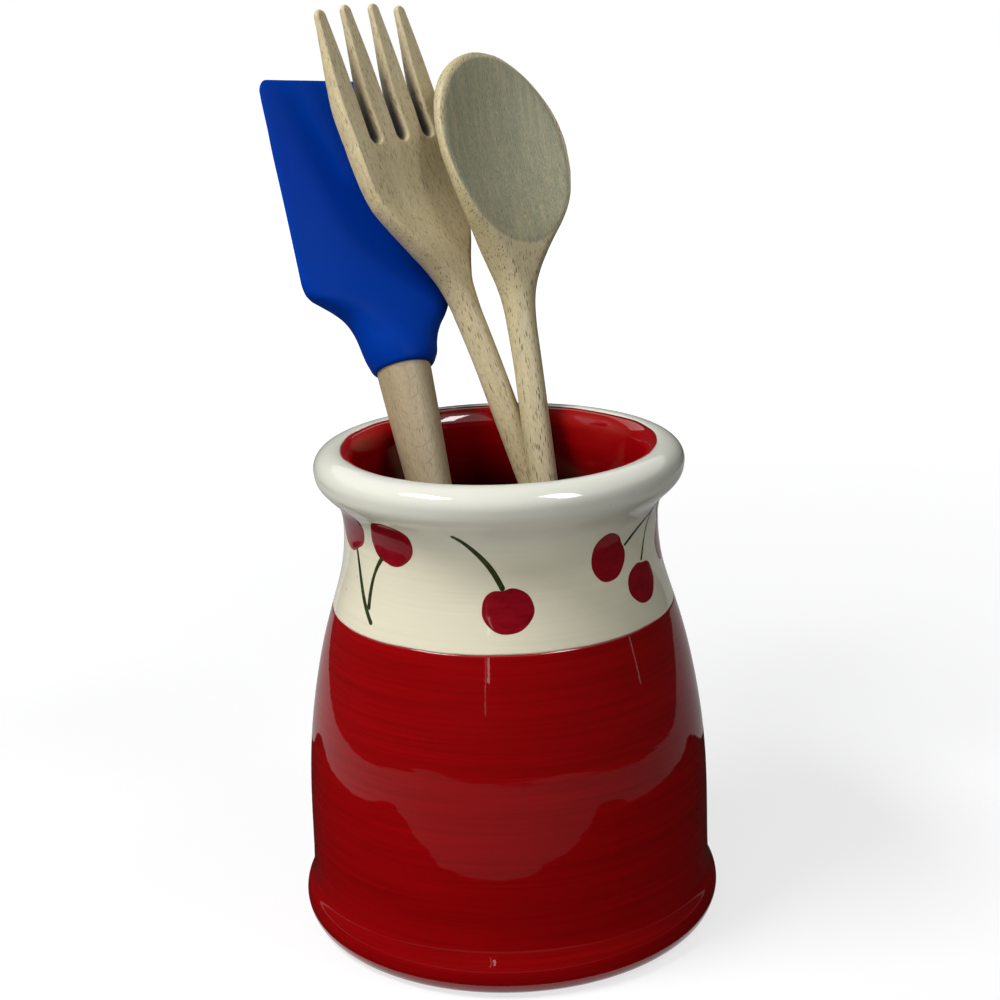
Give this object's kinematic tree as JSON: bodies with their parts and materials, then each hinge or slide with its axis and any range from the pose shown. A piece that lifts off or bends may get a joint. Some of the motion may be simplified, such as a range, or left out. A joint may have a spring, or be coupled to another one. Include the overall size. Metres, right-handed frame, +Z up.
{
  "type": "utensil crock",
  "caption": "Tall glazed stoneware crock with a waisted neck and a rolled rim, holding a silicone spatula, a wooden fork and a wooden spoon.",
  "frame": {"origin": "on the crock's axis, at the level its foot stands on", "axes": "+Z up along the crock's axis, -Y towards the viewer of the picture, +X to the viewer's right"},
  "size_m": [0.1637, 0.1875, 0.3304],
  "materials": {
    "stoneware": "unglazed, matt",
    "glaze_red": "high gloss",
    "glaze_cream": "high gloss",
    "glaze_liner": "high gloss",
    "beech_turned": "fine sanded, oiled",
    "beech_carved": "sanded, unvarnished",
    "silicone_blue": "satin"
  },
  "bodies": {
    "crock": {"clay_body": "stoneware", "red_glaze": "glaze_red", "cream_glaze": "glaze_cream", "liner_glaze": "glaze_liner"},
    "spatula": {"spatula_handle": "beech_turned"},
    "blade": {"spatula_blade": "silicone_blue"},
    "fork": {"wooden_fork": "beech_carved"},
    "spoon": {"wooden_spoon": "beech_carved"}
  },
  "joints": [
    {"name": "spatula_lift", "type": "slide", "parent": "crock", "child": "spatula", "axis": [-0.1909, 0.475, 0.859], "range_m": [0, 0.21]},
    {"name": "blade_pull_off", "type": "slide", "parent": "spatula", "child": "blade", "axis": [-0.1909, 0.475, 0.859], "range_m": [0, 0.045]},
    {"name": "fork_lift", "type": "slide", "parent": "crock", "child": "fork", "axis": [-0.3197, 0.2488, 0.9143], "range_m": [0, 0.2]},
    {"name": "spoon_lift", "type": "slide", "parent": "crock", "child": "spoon", "axis": [-0.0915, 0.4433, 0.8917], "range_m": [0, 0.2]}
  ]
}
